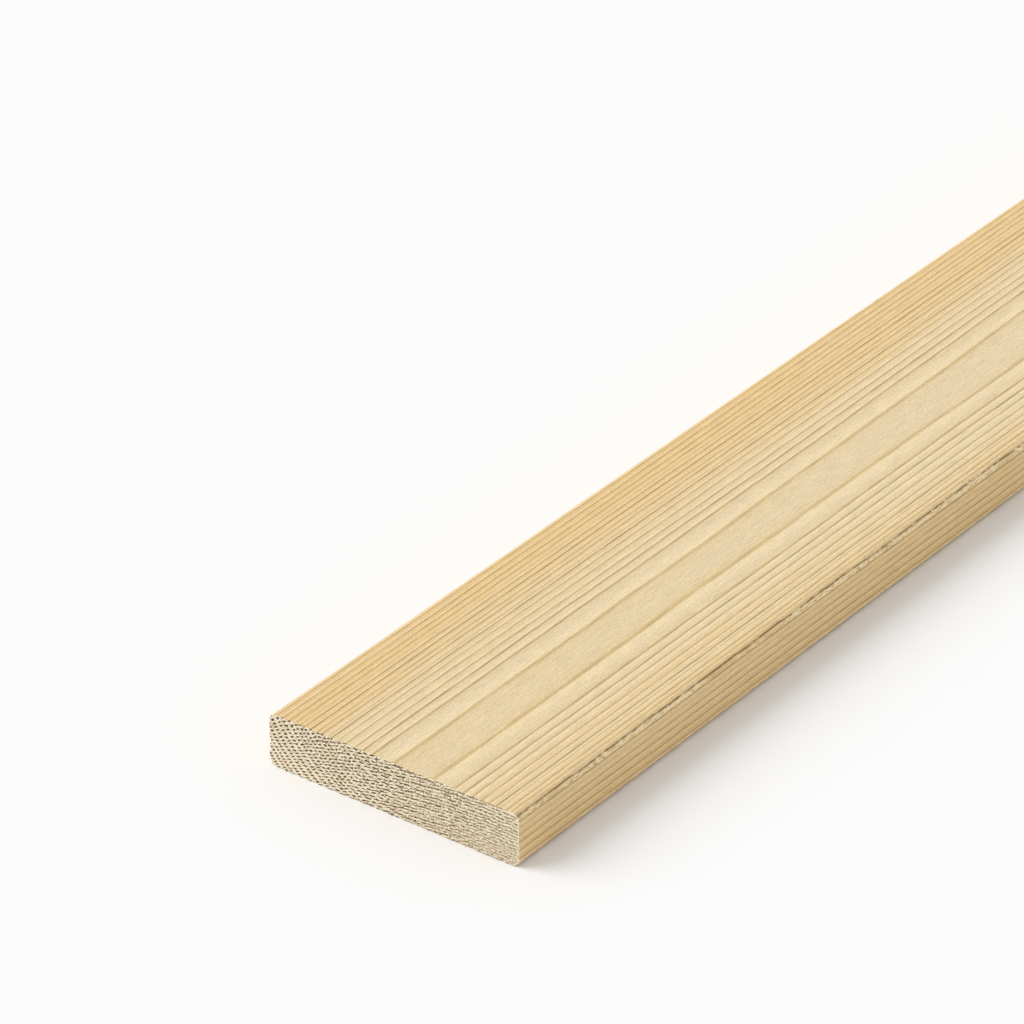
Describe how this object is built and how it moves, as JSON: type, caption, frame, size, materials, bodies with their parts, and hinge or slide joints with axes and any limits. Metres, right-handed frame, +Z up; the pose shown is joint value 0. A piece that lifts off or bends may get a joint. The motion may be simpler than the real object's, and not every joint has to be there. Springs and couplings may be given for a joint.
{
  "type": "timber plank",
  "caption": "Planed softwood plank, straight and square-cut, with eased long edges, for shelving, cladding and general joinery.",
  "frame": {"origin": "centre of the underside, on the floor that the plank lies on", "axes": "+X along the length and the grain, +Y across the width, +Z up through the thickness"},
  "size_m": [1, 0.12, 0.024],
  "materials": {
    "softwood": "planed, unfinished"
  },
  "bodies": {
    "root": {"plank": "softwood"}
  },
  "joints": []
}
